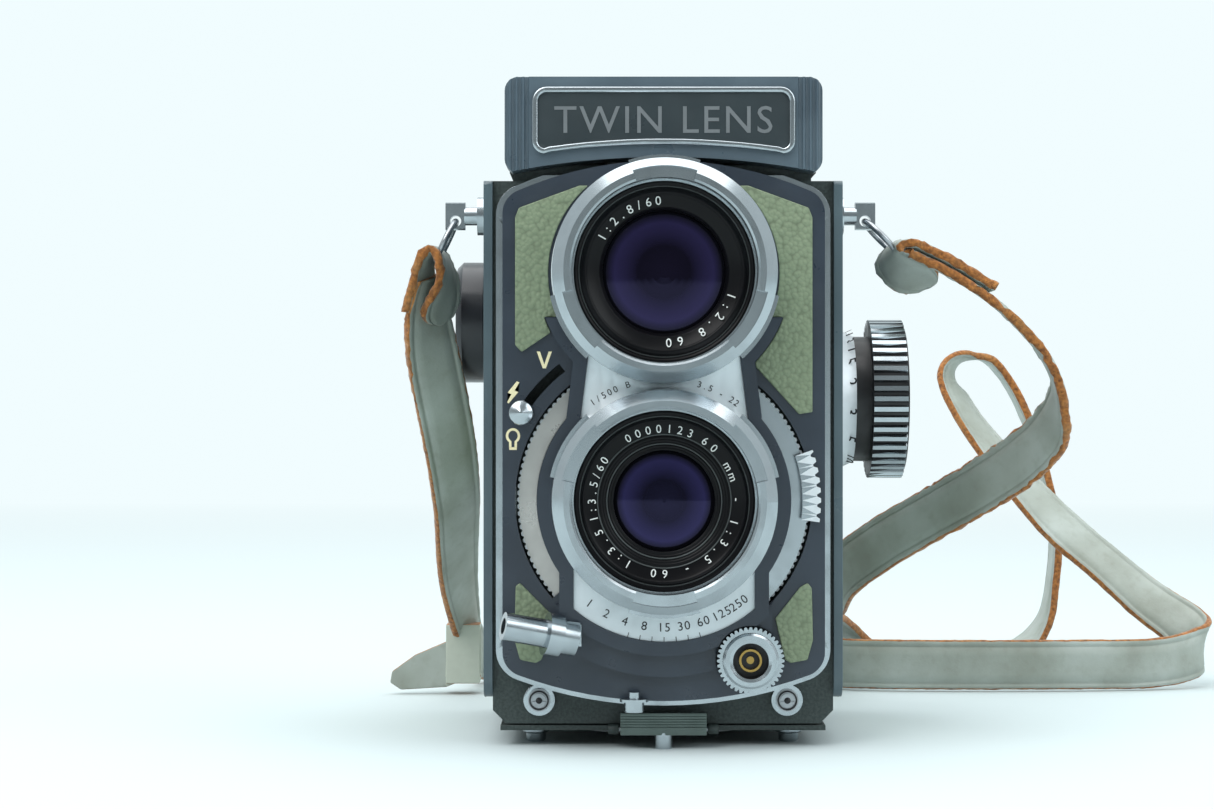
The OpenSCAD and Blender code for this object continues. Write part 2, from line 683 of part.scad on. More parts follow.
module sync_lever() color(satin) {
    slab(-37.9, -36) translate([0, taking_z]) ring_sector(lever_r - 1.3, lever_r + 1, lever_a - 3, lever_a + 3);
    at = lever_r * [cos(lever_a), sin(lever_a)] + [0, taking_z];
    rod_y(at[0], at[1], 0.7, board_face - 0.4, -37.9);
    turned(at[0], at[1]) polygon([[0, 40.4], [2.3, 40.4], [2.3, 41], [1.9, 41.4], [1.9, 42], [1.2, 42.4],
        [0.5, 42.1], [0.4, 41.8], [0, 41.8]]);
}

// Along the release's own axis, which leans up and forward from the lens board's lower left
module along_release() translate(release_at) rotate(release_turn) children();

module release_body(grow) {
    g = [grow, grow, grow];
    along_release() translate([0, 0, -1.5 - grow]) cylinder(r = 4 + grow, h = 2.7 + 2 * grow);
    along_release() translate([0, 0, -4.5 - grow]) cylinder(r = 3.3 + grow, h = 3 + grow);
    block([-19.6, -44.5, 19.6] - g, [-15.2, boss_front, 23.6] + g);
}

module release_base() color(satin) difference() {
    release_body(0);
    along_release() translate([0, 0, -3.6]) cylinder(r = release_r + run_gap, h = 6);
}

module release_button() color(satin) along_release() difference() {
    translate([0, 0, -0.9]) cylinder(r = release_r, h = 10.2);
    translate([0, 0, 4]) cylinder(r = 1.5, h = 6);
}

module flash_socket() color(satin) {
    turned(flash_at[0], flash_at[1]) polygon([[3.3, 42], [3.3, 45], [3.9, 45.2], [4.7, 45.2], [5.1, 44.8], [5.1, 40],
        [0, 40], [0, 42.6], [0.7, 42.6], [0.7, 42]]);
    turned(flash_at[0], flash_at[1]) polygon([[1.7, 42], [1.7, 43.6], [2.1, 43.6], [2.1, 42]]);
}

module flash_lock_ring() color(satin) difference() {
    slab(-44.2, boss_front - 0.1) translate(flash_at) polygon(toothed(40, 5.7, 6.2, 0.85, 0.4));
    rod_y(flash_at[0], flash_at[1], 5.1 + run_gap, -46, -40);
}

module front_stud() color(satin) translate([-5.5, -42.7, 0]) {
    translate([0, 0, 7.4]) cylinder(r = 1.85, h = 1.9);
    translate([0, 0, 9.3]) cylinder(r = 2.65, h = 0.5);
    block([-1, 0, 9.8], [1, 2.7, 11]);
    translate([0, 0, 9.8]) cylinder(r = 1, h = 1.2);
}

// Strap --------------------------------------------------------------------

module strap_lugs() color(steel) both_sides() difference() {
    union() {
        rod_x(lug_at[0], lug_at[1], 3.75, side_x, 36);
        rod_x(lug_at[0], lug_at[1], 1.8, 36, 38.6);
        intersection() {
            rod_x(lug_at[0], lug_at[1], 2.75, 38.4, 42.3);
            block([38, lug_at[0] - 1.2, 90], [43, lug_at[0] + 1.2, 110]);
        }
    }
    rod_y(lug_hole[0], lug_hole[1], 1.1, -10, 0);
}

ring_major = 4.6;
wire_r = 0.6;
ring_lean = [26, 45];           // how far the left and right wire rings lean outward

module lug_rings() color(steel) for (i = [0, 1]) mirror([1 - i, 0, 0])
    translate([lug_hole[0], lug_at[0], lug_hole[1]]) rotate([0, -ring_lean[i], 0]) translate([0, 0, -ring_major])
        rotate([0, 90, 0]) rotate_extrude() translate([ring_major, 0]) circle(wire_r);

// Route of the strap's middle, and the way its width lies there: [x, y, z, wx, wy, wz]
strap_route = [
    [-46, -4, 89, 3, 9, 0], [-46.3, -2.5, 83, 6, 7, 1], [-45.6, 0.5, 76, 8, 5, 1], [-44.6, 6, 69, 9, 4, 1],
    [-43.4, 13, 61, 9, 3, 2], [-42.4, 22, 52, 8, 4, 2], [-42, 32, 43, 8, 5, 3], [-42.4, 41.5, 35, 7, 6, 3],
    [-42.6, 52, 27, 6, 6, 4], [-42, 62, 19, 4, 5, 6], [-41, 71, 12, 2, 2, 9], [-40, 81, 8, 1, 0, 9],
    [-38, 92, 6, 0, 0, 1], [-32, 103, 6, 0, 0, 1], [-21, 110, 6, 0, 0, 1], [-7, 113, 6, 0, 0, 1],
    [8, 113, 6, 0, 0, 1], [22, 110, 6, 0, 0, 1], [33, 103, 6, 0, 0, 1], [37, 92, 6, 0, 0, 1],
    [38, 81, 6, 0, 0, 1], [43, 73, 6, 0, 0, 1], [53, 70, 6, 0, 0, 1], [67, 69, 6, 0, 0, 1],
    [82, 69, 6, 0, 0, 1], [97, 70, 6, 0, 0, 1], [110, 72, 6, 0, 0, 1], [119, 75, 7, 0, 0, 1],
    [124, 80, 9, 1, 1, 9], [122, 86, 13, 3, 3, 8], [114, 91, 19, 4, 4, 6], [105, 95, 27, 4, 5, 5],
    [96, 99, 35, 4, 5, 5], [88, 104, 44, 4, 6, 4], [81, 109, 53, 4, 7, 3], [75, 114, 62, 4, 8, 2],
    [72, 119, 70, 3, 8, 2], [75, 124, 75, 1, 9, 1], [82, 127, 75, 0, 9, 0], [88, 128, 68, 0, 9, 0],
    [93, 128, 57, 0, 9, 0], [96, 127, 46, 0, 9, 0], [98, 125, 34, 0, 9, 0], [97, 121, 23, 0, 9, 0],
    [94, 116, 13, 0, 9, 1], [87, 110, 6, -1, 8, 2], [77, 104, 4, -1, 7, 3], [66, 99, 4, -2, 7, 3],
    [56, 94, 6, -3, 7, 2], [47, 89, 10, -5, 7, 1], [41, 82, 14, -7, 5, 0], [37, 74, 17, -9, 2, 1],
    [36, 64, 19, -9, 1, 4], [37, 54, 22, -7, 1, 6], [40, 44, 28, -4, 2, 8], [48, 35, 35, -4, 2, 8],
    [57, 27, 41, -4, 3, 8], [66, 19, 47, -5, 3, 7], [74, 13, 53, -5, 5, 5], [79, 8, 60, -4, 7, 3],
    [80, 3, 67, -2, 9, 0], [77, 0, 73, -3, 9, 0], [72, -2, 79, -2, 9, 0], [65, -4, 85, -2, 9, 0],
    [57, -5, 90, -1, 9, 0], [49, -5, 94, -1, 9, 0]];

function unit(v) = v / norm(v);
function route_point(i) = [strap_route[i][0], strap_route[i][1], strap_route[i][2]];
function route_width(i) = [strap_route[i][3], strap_route[i][4], strap_route[i][5]];

// The strap as one band: a flat eight-sided outline carried along the route
module strap() color("#8f9a8c") {
    last = len(strap_route) - 1;
    w = strap_w / 2;
    t = strap_t / 2;
    edge = 0.4;
    outline = [[w - edge, -t], [w, -t + edge], [w, t - edge], [w - edge, t],
        [-w + edge, t], [-w, t - edge], [-w, -t + edge], [-w + edge, -t]];
    sides = len(outline);
    rings = [for (i = [0:last])
        let (along = unit(route_point(min(i + 1, last)) - route_point(max(i - 1, 0))),
            across = unit(route_width(i) - (route_width(i) * along) * along),
            out = cross(along, across))
        for (p = outline) route_point(i) + p[0] * across + p[1] * out];
    walls = [for (i = [0:last - 1], k = [0:sides - 1])
        let (a = i * sides + k, b = i * sides + (k + 1) % sides)
        for (f = [[a, b + sides, b], [a, a + sides, b + sides]]) f];
    polyhedron(rings, concat(walls, [[for (k = [0:sides - 1]) k],
        [for (k = [sides - 1:-1:0]) last * sides + k]]), convexity = 10);
}

// The sleeve that keeps the strap's turned-back end, and that end's tip
module strap_keeper() color("#9aa497") {
    difference() {
        block([-46, 61.5, 2.5], [-38.5, 69, 15.5]);
        block([-47, 62.7, 3.7], [-37, 67.8, 14.3]);
    }
    slab(63, 64.6) polygon([[-39, 4.4], [-46, 1.6], [-56, 1], [-58.4, 2.6], [-58, 5], [-53, 8.6], [-46, 11.6],
        [-39, 13.6]]);
}

// The model -----------------------------------------------------------------

body_shell();
side_cover_left();
side_cover_right();
front_trim();
trim_screws();
mirror_box();
reflex_mirror();
focusing_screen();
film_gate();
roller_top();
roller_bottom();
supply_spool();
take_up_spool();
wind_knob();
focus_knob();
focus_dial();
hood_base();
hood_front();
name_frame();
name_panel();
hood_lid();
hood_flap_left();
hood_flap_right();
hood_flap_back();
hood_pins();
magnifier_frame();
magnifier_lens();
magnifier_pin();
back_door();
door_pin();
pressure_plate();
tripod_plate();
feet();
door_latch();
latch_pin();
front_plate();
leather_panels();
face_plate();
guide_rods();
viewing_bezel();
viewing_name_ring();
viewing_lens();
taking_bezel();
taking_name_ring();
taking_lens();
shutter_housing();
shutter_blades();
aperture_ring();
speed_ring();
sync_lever();
release_base();
release_button();
flash_socket();
flash_lock_ring();
front_stud();
strap_lugs();
lug_rings();
strap();
strap_keeper();
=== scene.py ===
"""Looks of a twin lens reflex camera and its leather strap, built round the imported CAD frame."""

import json
import math

import bmesh
import bpy
from mathutils import Matrix, Vector, noise
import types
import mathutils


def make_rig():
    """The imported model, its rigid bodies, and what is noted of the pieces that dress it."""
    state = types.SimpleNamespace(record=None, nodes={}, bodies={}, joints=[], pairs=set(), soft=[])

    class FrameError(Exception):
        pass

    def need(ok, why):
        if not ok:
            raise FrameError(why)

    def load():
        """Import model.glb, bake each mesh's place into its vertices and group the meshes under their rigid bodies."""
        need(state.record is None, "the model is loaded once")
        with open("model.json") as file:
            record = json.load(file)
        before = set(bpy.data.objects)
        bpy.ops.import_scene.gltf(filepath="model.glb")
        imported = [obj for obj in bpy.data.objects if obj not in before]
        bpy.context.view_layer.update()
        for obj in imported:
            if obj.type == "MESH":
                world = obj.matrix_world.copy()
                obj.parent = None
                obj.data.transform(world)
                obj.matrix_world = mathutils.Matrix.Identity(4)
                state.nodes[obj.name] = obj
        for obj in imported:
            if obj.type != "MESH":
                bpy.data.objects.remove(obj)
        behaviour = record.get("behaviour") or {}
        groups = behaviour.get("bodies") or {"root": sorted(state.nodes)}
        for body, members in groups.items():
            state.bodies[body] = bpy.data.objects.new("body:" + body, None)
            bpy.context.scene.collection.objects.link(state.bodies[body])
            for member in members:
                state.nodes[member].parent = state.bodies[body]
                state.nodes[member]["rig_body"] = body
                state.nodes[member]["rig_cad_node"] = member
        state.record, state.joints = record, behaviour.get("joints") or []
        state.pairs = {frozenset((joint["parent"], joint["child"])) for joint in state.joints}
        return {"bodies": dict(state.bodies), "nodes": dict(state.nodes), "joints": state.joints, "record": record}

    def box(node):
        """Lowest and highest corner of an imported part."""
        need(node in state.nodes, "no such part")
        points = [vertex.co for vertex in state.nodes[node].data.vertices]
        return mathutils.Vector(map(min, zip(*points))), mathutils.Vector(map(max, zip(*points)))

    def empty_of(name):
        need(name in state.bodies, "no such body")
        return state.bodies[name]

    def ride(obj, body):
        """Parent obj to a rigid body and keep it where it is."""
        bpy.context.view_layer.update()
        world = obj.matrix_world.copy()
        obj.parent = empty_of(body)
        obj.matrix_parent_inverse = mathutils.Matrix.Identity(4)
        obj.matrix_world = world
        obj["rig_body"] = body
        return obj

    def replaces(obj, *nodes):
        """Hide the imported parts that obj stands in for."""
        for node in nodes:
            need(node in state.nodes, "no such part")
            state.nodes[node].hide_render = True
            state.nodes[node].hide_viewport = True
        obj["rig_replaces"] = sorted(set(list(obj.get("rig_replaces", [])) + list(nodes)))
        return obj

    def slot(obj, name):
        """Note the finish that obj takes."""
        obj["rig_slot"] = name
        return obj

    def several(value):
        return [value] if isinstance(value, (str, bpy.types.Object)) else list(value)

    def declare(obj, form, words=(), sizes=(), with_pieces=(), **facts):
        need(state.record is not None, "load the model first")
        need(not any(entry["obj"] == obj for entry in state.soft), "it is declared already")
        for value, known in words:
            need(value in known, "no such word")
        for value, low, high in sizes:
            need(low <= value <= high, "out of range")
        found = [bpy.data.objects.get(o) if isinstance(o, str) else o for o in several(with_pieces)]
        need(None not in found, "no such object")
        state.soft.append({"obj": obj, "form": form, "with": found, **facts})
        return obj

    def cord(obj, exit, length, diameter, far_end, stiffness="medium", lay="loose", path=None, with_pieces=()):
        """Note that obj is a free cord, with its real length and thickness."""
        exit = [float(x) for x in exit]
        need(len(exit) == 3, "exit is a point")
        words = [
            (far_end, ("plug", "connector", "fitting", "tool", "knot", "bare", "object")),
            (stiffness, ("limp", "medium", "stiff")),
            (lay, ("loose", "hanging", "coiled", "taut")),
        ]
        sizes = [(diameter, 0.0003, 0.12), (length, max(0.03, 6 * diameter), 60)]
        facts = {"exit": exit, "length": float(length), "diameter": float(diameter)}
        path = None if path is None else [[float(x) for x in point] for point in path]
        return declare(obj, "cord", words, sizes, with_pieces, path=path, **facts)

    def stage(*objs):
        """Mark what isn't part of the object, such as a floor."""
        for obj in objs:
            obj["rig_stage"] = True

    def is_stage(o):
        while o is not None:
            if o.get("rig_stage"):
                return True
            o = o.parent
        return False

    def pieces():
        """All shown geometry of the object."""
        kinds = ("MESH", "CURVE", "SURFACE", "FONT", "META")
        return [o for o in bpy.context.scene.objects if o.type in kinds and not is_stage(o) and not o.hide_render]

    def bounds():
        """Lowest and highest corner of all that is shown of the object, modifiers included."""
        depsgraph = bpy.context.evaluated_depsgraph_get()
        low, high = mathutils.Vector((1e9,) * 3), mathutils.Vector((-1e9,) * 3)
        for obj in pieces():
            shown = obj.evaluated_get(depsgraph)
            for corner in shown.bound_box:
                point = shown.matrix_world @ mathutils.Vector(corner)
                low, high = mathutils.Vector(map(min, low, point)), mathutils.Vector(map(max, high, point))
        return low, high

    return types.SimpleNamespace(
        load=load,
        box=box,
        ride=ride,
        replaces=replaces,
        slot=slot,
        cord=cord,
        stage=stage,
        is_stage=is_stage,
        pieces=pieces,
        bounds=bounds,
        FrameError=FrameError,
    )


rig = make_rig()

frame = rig.load()
nodes = frame["nodes"]
cad_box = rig.bounds()
MM = 0.001

# Axes and layers of the camera, in millimetres, as in the CAD source
TAKING_Z = 46.3
VIEWING_Z = 88.3
FACE_FRONT = -43.0
BOARD_FACE = -40.0
BACK_FACE = 32.6
COVER_FACE = 33.6
WIND_Z, WIND_CLEAR = 80.8, 17.5
FOCUS_Y, FOCUS_Z, FOCUS_CLEAR = -3, 65.1, 20
DIAL_IN, DIAL_OUT = 34.8, 37.9
DIAL_IN_R, DIAL_OUT_R = 13.9, 12.5
FLASH_X, FLASH_Z = 15.9, 16.9
SYNC_X, SYNC_Z = -26.35, 62.45
SCREW_X, SCREW_Z = 23.2, 8.7
STRAP_W = 11.0
FRAY_SEED = 7

SKY = (0.88, 0.98, 1.0)
FLOOR_WHITE = (0.56, 0.63, 0.64)
EYE = (-10.5, -573, 64)
EYE_LENS = 85.4


# Camera and light ------------------------------------------------------------


def make_camera():
    data = bpy.data.cameras.new("view_camera")
    data.lens, data.sensor_width = EYE_LENS, 36
    data.clip_start, data.clip_end = 0.01, 20
    cam = bpy.data.objects.new("view_camera", data)
    cam.location = Vector(EYE) * MM
    cam.rotation_euler = (math.radians(90), 0, 0)
    bpy.context.scene.collection.objects.link(cam)
    bpy.context.scene.camera = cam


def area_light(name, place, target, size, power, colour=(1, 1, 1)):
    data = bpy.data.lights.new(name, "AREA")
    data.shape, data.size, data.size_y = "RECTANGLE", size[0], size[1]
    data.energy, data.color = power, colour
    light = bpy.data.objects.new(name, data)
    light.location = place
    light.rotation_euler = (Vector(target) - Vector(place)).to_track_quat("-Z", "Y").to_euler()
    bpy.context.scene.collection.objects.link(light)


def make_world():
    """Pale behind the object, and darker towards the viewer so that chrome has something to show."""
    world = bpy.data.worlds.new("studio")
    bpy.context.scene.world = world
    world.use_nodes = True
    tree = world.node_tree
    n, link = tree.nodes, tree.links.new
    coords = n.new("ShaderNodeTexCoord")
    split = n.new("ShaderNodeSeparateXYZ")
    ramp = n.new("ShaderNodeMapRange")
    ramp.inputs["From Min"].default_value, ramp.inputs["From Max"].default_value = -1.0, 0.5
    ramp.inputs["To Min"].default_value, ramp.inputs["To Max"].default_value = 0.3, 1.0
    link(coords.outputs["Generated"], split.inputs[0])
    link(split.outputs["Y"], ramp.inputs["Value"])
    n["Background"].inputs["Color"].default_value = (*SKY, 1)
    link(ramp.outputs[0], n["Background"].inputs["Strength"])


def make_floor():
    """A pale floor that fades into the background's colour behind the object."""
    mesh = bpy.data.meshes.new("floor")
    mesh.from_pydata([(-7, -4, 0), (7, -4, 0), (7, 14, 0), (-7, 14, 0)], [], [(0, 1, 2, 3)])
    floor = bpy.data.objects.new("floor", mesh)
    bpy.context.scene.collection.objects.link(floor)
    s = Shader("floor_white", FLOOR_WHITE, 0.6, specular_ior_level=0.0)
    coords, split = s.node("TexCoord"), s.node("SeparateXYZ")
    s.link(coords.outputs["Object"], split.inputs[0])
    far = s.ranged(split.outputs["Y"], 0, 1, 0.25, 1.3)
    s.colour(s.mix(far, FLOOR_WHITE, (0.0, 0.0, 0.0)))
    s.bsdf.inputs["Emission Color"].default_value = (*SKY, 1)
    s.link(far, s.bsdf.inputs["Emission Strength"])
    mesh.materials.append(s.material)
    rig.stage(floor)


# Materials -------------------------------------------------------------------


def linear(rgb):
    """A linear colour from 0-255 sRGB values."""
    return tuple((c / 255 / 12.92) if c < 10.3 else ((c / 255 + 0.055) / 1.055) ** 2.4 for c in rgb)


class Shader:
    """A principled material and the few node chains that this object uses."""

    def __init__(self, name, colour, rough, metal=0.0, **more):
        self.material = bpy.data.materials.new(name)
        self.material.use_nodes = True
        self.tree = self.material.node_tree
        self.bsdf = self.tree.nodes["Principled BSDF"]
        self.bsdf.inputs["Base Color"].default_value = (*colour, 1)
        self.bsdf.inputs["Roughness"].default_value = rough
        self.bsdf.inputs["Metallic"].default_value = metal
        for key, value in more.items():
            self.bsdf.inputs[key.replace("_", " ").title().replace("Ior", "IOR")].default_value = value
        self.height = None

    def node(self, kind, **inputs):
        made = self.tree.nodes.new("ShaderNode" + kind)
        for key, value in inputs.items():
            made.inputs[key].default_value = value
        return made

    def link(self, a, b):
        self.tree.links.new(a, b)

    def place(self, size):
        """Object coordinates in millimetres, divided by a feature's size."""
        coords = self.node("TexCoord")
        mapping = self.node("Mapping")
        mapping.inputs["Scale"].default_value = [1000 / size] * 3
        self.link(coords.outputs["Object"], mapping.inputs["Vector"])
        return mapping.outputs[0]

    def noise(self, size, detail=3.0):
        made = self.node("TexNoise", Scale=1.0, Detail=detail)
        self.link(self.place(size), made.inputs["Vector"])
        return made.outputs["Fac"]

    def cells(self, size):
        made = self.node("TexVoronoi", Scale=1.0)
        self.link(self.place(size), made.inputs["Vector"])
        return made.outputs["Distance"]

    def ranged(self, value, a, b, lo=0.0, hi=1.0):
        """Maps lo to hi of a value onto a to b."""
        made = self.node("MapRange")
        for key, v in zip(("From Min", "From Max", "To Min", "To Max"), (lo, hi, a, b)):
            made.inputs[key].default_value = v
        self.link(value, made.inputs["Value"])
        return made.outputs[0]

    def mix(self, fac, a, b):
        """Mixes two colours, each a tuple or a socket, by a socket."""
        made = self.node("Mix")
        made.data_type = "RGBA"
        self.link(fac, made.inputs[0])
        for socket, colour in ((made.inputs[6], a), (made.inputs[7], b)):
            if isinstance(colour, tuple):
                socket.default_value = (*colour, 1)
            else:
                self.link(colour, socket)
        return made.outputs[2]

    def colour(self, socket):
        self.link(socket, self.bsdf.inputs["Base Color"])

    def rough(self, value, a, b, lo=0.3, hi=0.7):
        self.link(self.ranged(value, a, b, lo, hi), self.bsdf.inputs["Roughness"])

    def bump(self, value, depth, strength=1.0):
        """Adds a bump of that depth in millimetres on top of any earlier one."""
        made = self.node("Bump", Strength=strength, Distance=depth * MM)
        self.link(value, made.inputs["Height"])
        if self.height is not None:
            self.link(self.height, made.inputs["Normal"])
        self.height = made.outputs[0]
        self.link(self.height, self.bsdf.inputs["Normal"])


def plain(name, colour, rough=0.5, metal=0.0, wear=0.08, **more):
    """One colour, with a slight unevenness in it and in its polish."""
    s = Shader(name, colour, rough, metal, **more)
    low, high = (tuple(min(1, c * k) for c in colour[:3]) for k in (1 - wear, 1 + wear))
    s.colour(s.mix(s.noise(1.7, 3), low, high))
    s.rough(s.noise(6), rough * (1 - wear), rough * (1 + wear))
    return s.material


def paint_body():
    s = Shader("body_green_grey", linear((50, 60, 59)), 0.5)
    grain = s.noise(0.55, 4)
    s.colour(s.mix(s.ranged(grain, 0, 1, 0.35, 0.7), linear((40, 50, 49)), linear((60, 71, 69))))
    s.rough(s.noise(9), 0.42, 0.58)
    s.bump(grain, 0.09, 0.7)
    return s.material


def paint_blue_grey(name="enamel_blue_grey", low=(34, 43, 54), high=(43, 53, 65)):
    s = Shader(name, linear(low), 0.32, coat_weight=0.2, coat_roughness=0.2)
    blotch = s.noise(14, 4)
    s.colour(s.mix(s.ranged(blotch, 0, 1, 0.35, 0.7), linear(low), linear(high)))
    s.rough(s.noise(6, 5), 0.26, 0.42)
    s.bump(s.noise(0.35, 2), 0.012, 0.6)
    return s.material


def chrome_satin(name="chrome_satin", tint=(196, 202, 206), rough=0.24, metal=1.0):
    s = Shader(name, linear(tint), rough, metal)
    wear = s.noise(5, 5)
    dark = tuple(c * 0.86 for c in linear(tint))
    s.colour(s.mix(s.ranged(wear, 0, 1, 0.45, 0.8), linear(tint), dark))
    s.rough(wear, rough - 0.03, rough + 0.06)
    s.bump(s.noise(0.12, 2), 0.002, 0.35)
    return s.material


def paint_black():
    s = Shader("black_paint", (0.012, 0.012, 0.014), 0.4)
    s.rough(s.noise(3, 4), 0.3, 0.5)
    s.bump(s.noise(0.3, 3), 0.015, 0.5)
    return s.material


def leather_sage():
    s = Shader("leather_sage", linear((120, 133, 108)), 0.5)
    grain = s.cells(0.85)
    fine = s.noise(0.6, 4)
    # Darker in the grain's creases, where the bump is low: painted shade.
    crease = s.ranged(grain, 0, 1, 0.45, 0.95)
    tone = s.mix(crease, linear((124, 138, 111)), linear((98, 110, 87)))
    s.colour(s.mix(s.ranged(s.noise(9, 4), 0, 0.4, 0.35, 0.7), tone, linear((110, 124, 99))))
    s.rough(fine, 0.45, 0.62)
    s.bump(fine, 0.06, 0.5)
    s.bump(s.ranged(grain, 1, 0, 0.1, 0.8), 0.16, 0.8)
    return s.material


def leather_strap():
    s = Shader("strap_leather", linear((150, 157, 148)), 0.5, sheen_weight=0.1)
    wear = s.noise(16, 5)
    tone = s.mix(s.ranged(wear, 0, 1, 0.35, 0.68), linear((143, 149, 139)), linear((174, 182, 176)))
    s.colour(s.mix(s.ranged(s.noise(2.2, 5), 0, 0.2, 0.52, 0.72), tone, linear((118, 118, 100))))
    s.rough(s.noise(3, 4), 0.42, 0.62)
    s.bump(s.noise(0.45, 4), 0.05, 0.6)
    s.bump(s.cells(1.6), 0.05, 0.35)
    return s.material


def leather_raw():
    s = Shader("strap_raw_edge", linear((160, 104, 52)), 0.9, sheen_weight=0.3)
    fibre = s.noise(0.8, 6)
    tone = s.mix(s.ranged(fibre, 0, 1, 0.3, 0.7), linear((104, 60, 24)), linear((182, 116, 52)))
    s.colour(s.mix(s.ranged(s.noise(5, 4), 0, 0.4, 0.5, 0.8), tone, linear((196, 152, 96))))
    s.bump(fibre, 0.3, 0.9)
    return s.material


def glass_painted_reflection(name, centre_z, radius, middle, rim):
    """Dark glass whose colour is painted reflection and shade: dark violet towards the middle, a painted violet
    reflection of the coating in a ring towards the rim, and painted shade, near black, at the rim.
    """
    s = Shader(name, middle, 0.05, specular_tint=(0.55, 0.5, 1.0, 1), ior=1.5,
               specular_ior_level=0.3)
    coords = s.node("TexCoord")
    offset = s.node("VectorMath")
    offset.operation = "SUBTRACT"
    offset.inputs[1].default_value = (0, 0, centre_z * MM)
    flat = s.node("VectorMath")
    flat.operation = "MULTIPLY"
    flat.inputs[1].default_value = (1000 / radius, 0, 1000 / radius)
    length = s.node("VectorMath")
    length.operation = "LENGTH"
    s.link(coords.outputs["Object"], offset.inputs[0])
    s.link(offset.outputs[0], flat.inputs[0])
    s.link(flat.outputs[0], length.inputs[0])
    ramp = s.node("ValToRGB")
    inner = tuple(c * 0.55 for c in middle)
    # Colour by distance from the axis: the middle colour, darker at 0.42, the rim colour at 0.8 as a painted
    # reflection ring, and painted shade near black from 0.93 out.
    stops = [(0.0, middle), (0.42, inner), (0.8, rim), (0.93, (0.004, 0.004, 0.006))]
    while len(ramp.color_ramp.elements) < len(stops):
        ramp.color_ramp.elements.new(0.5)
    for element, (at, colour) in zip(ramp.color_ramp.elements, stops):
        element.position, element.color = at, (*colour, 1)
    s.link(length.outputs["Value"], ramp.inputs[0])
    s.colour(ramp.outputs[0])
    return s.material


MAT = {
    "body": paint_body(),
    "blue": paint_blue_grey(),
    "cover": paint_blue_grey("enamel_cover", (70, 86, 93), (80, 97, 104)),
    "hood": paint_blue_grey("enamel_hood", (70, 84, 94), (84, 99, 109)),
    "navy": paint_blue_grey("enamel_knob", (17, 21, 30), (23, 28, 38)),
    "panel": paint_blue_grey("name_panel_enamel", (37, 46, 50), (46, 56, 60)),
    "latch": chrome_satin("latch_grey", (104, 116, 112), 0.4),
    "chrome": chrome_satin("chrome_satin", (176, 184, 189), 0.2),
    "face": chrome_satin("face_plate_silver", (214, 222, 226), 0.42, metal=0.35),
    "milled": chrome_satin("milled_ring", (196, 194, 190), 0.28, metal=0.7),
    "steel": chrome_satin("steel", (168, 172, 176), 0.3),
    "black": paint_black(),
    "gloss": plain("black_gloss", (0.003, 0.003, 0.004), 0.3, specular_ior_level=0.16),
    "sage": leather_sage(),
    "strap": leather_strap(),
    "keeper": plain("keeper_leather", linear((184, 190, 178)), 0.5),
    "raw": leather_raw(),
    "line": plain("bright_line", (0.09, 0.1, 0.1), 0.3, 0.5),
    "white": plain("engraving_white", (0.82, 0.84, 0.82), 0.5),
    "ink": plain("engraving_black", (0.015, 0.015, 0.018), 0.5),
    "cream": plain("mark_cream", linear((232, 222, 180)), 0.5),
    "dial": plain("dial_white", linear((214, 220, 224)), 0.4, 0.3),
    "brass": plain("contact_brass", linear((176, 146, 84)), 0.3, 1.0),
    "plastic": plain("spool_black", (0.02, 0.02, 0.022), 0.45),
    "ground": plain("ground_glass", (0.8, 0.84, 0.82), 0.35, 0.0, transmission_weight=0.5),
    "mirror": plain("mirror_silver", (0.9, 0.92, 0.93), 0.03, 1.0, wear=0.02),
    # Lens glass with painted reflection and painted shade in its colour.
    "viewing": glass_painted_reflection("viewing_glass", VIEWING_Z, 11.4,
                            (0.004, 0.003, 0.008), (0.02, 0.016, 0.055)),
    "taking": glass_painted_reflection("taking_glass", TAKING_Z, 9.3,
                           (0.006, 0.006, 0.016), (0.022, 0.02, 0.07)),
}

# Material of each CAD node, and how wide the edges of some are rounded, in millimetres
DRESS = {
    "body": "body_shell hood_base back_door",
    "blue": "front_plate",
    "cover": "side_cover_left side_cover_right",
    "hood": "hood_front hood_lid",
    "navy": "wind_knob",
    "latch": "door_latch",
    "panel": "name_panel",
    "chrome": "front_trim name_frame viewing_bezel taking_bezel speed_ring sync_lever release_base "
              "release_button flash_socket flash_lock_ring front_stud strap_lugs feet",
    "milled": "aperture_ring",
    "face": "face_plate",
    "steel": "trim_screws roller_top roller_bottom hood_pins magnifier_pin door_pin latch_pin "
             "guide_rods tripod_plate lug_rings",
    "black": "mirror_box film_gate pressure_plate hood_flap_left hood_flap_right hood_flap_back "
             "magnifier_frame viewing_name_ring taking_name_ring shutter_housing shutter_blades "
             "focus_knob",
    "dial": "focus_dial",
    "plastic": "supply_spool take_up_spool",
    "ground": "focusing_screen magnifier_lens",
    "mirror": "reflex_mirror",
    "sage": "leather_panels",
    "strap": "strap strap_keeper",
    "viewing": "viewing_lens",
    "taking": "taking_lens",
}
ROUNDED = {"hood_front": 0.4, "hood_lid": 0.5, "front_plate": 0.15, "leather_panels": 0.22,
           "body_shell": 0.35, "back_door": 0.5, "wind_knob": 0.3, "side_cover_left": 0.3,
           "side_cover_right": 0.3, "front_trim": 0.25, "name_frame": 0.3, "face_plate": 0.1,
           "feet": 0.1, "hood_base": 0.2, "name_panel": 0.05, "strap_keeper": 0.4}


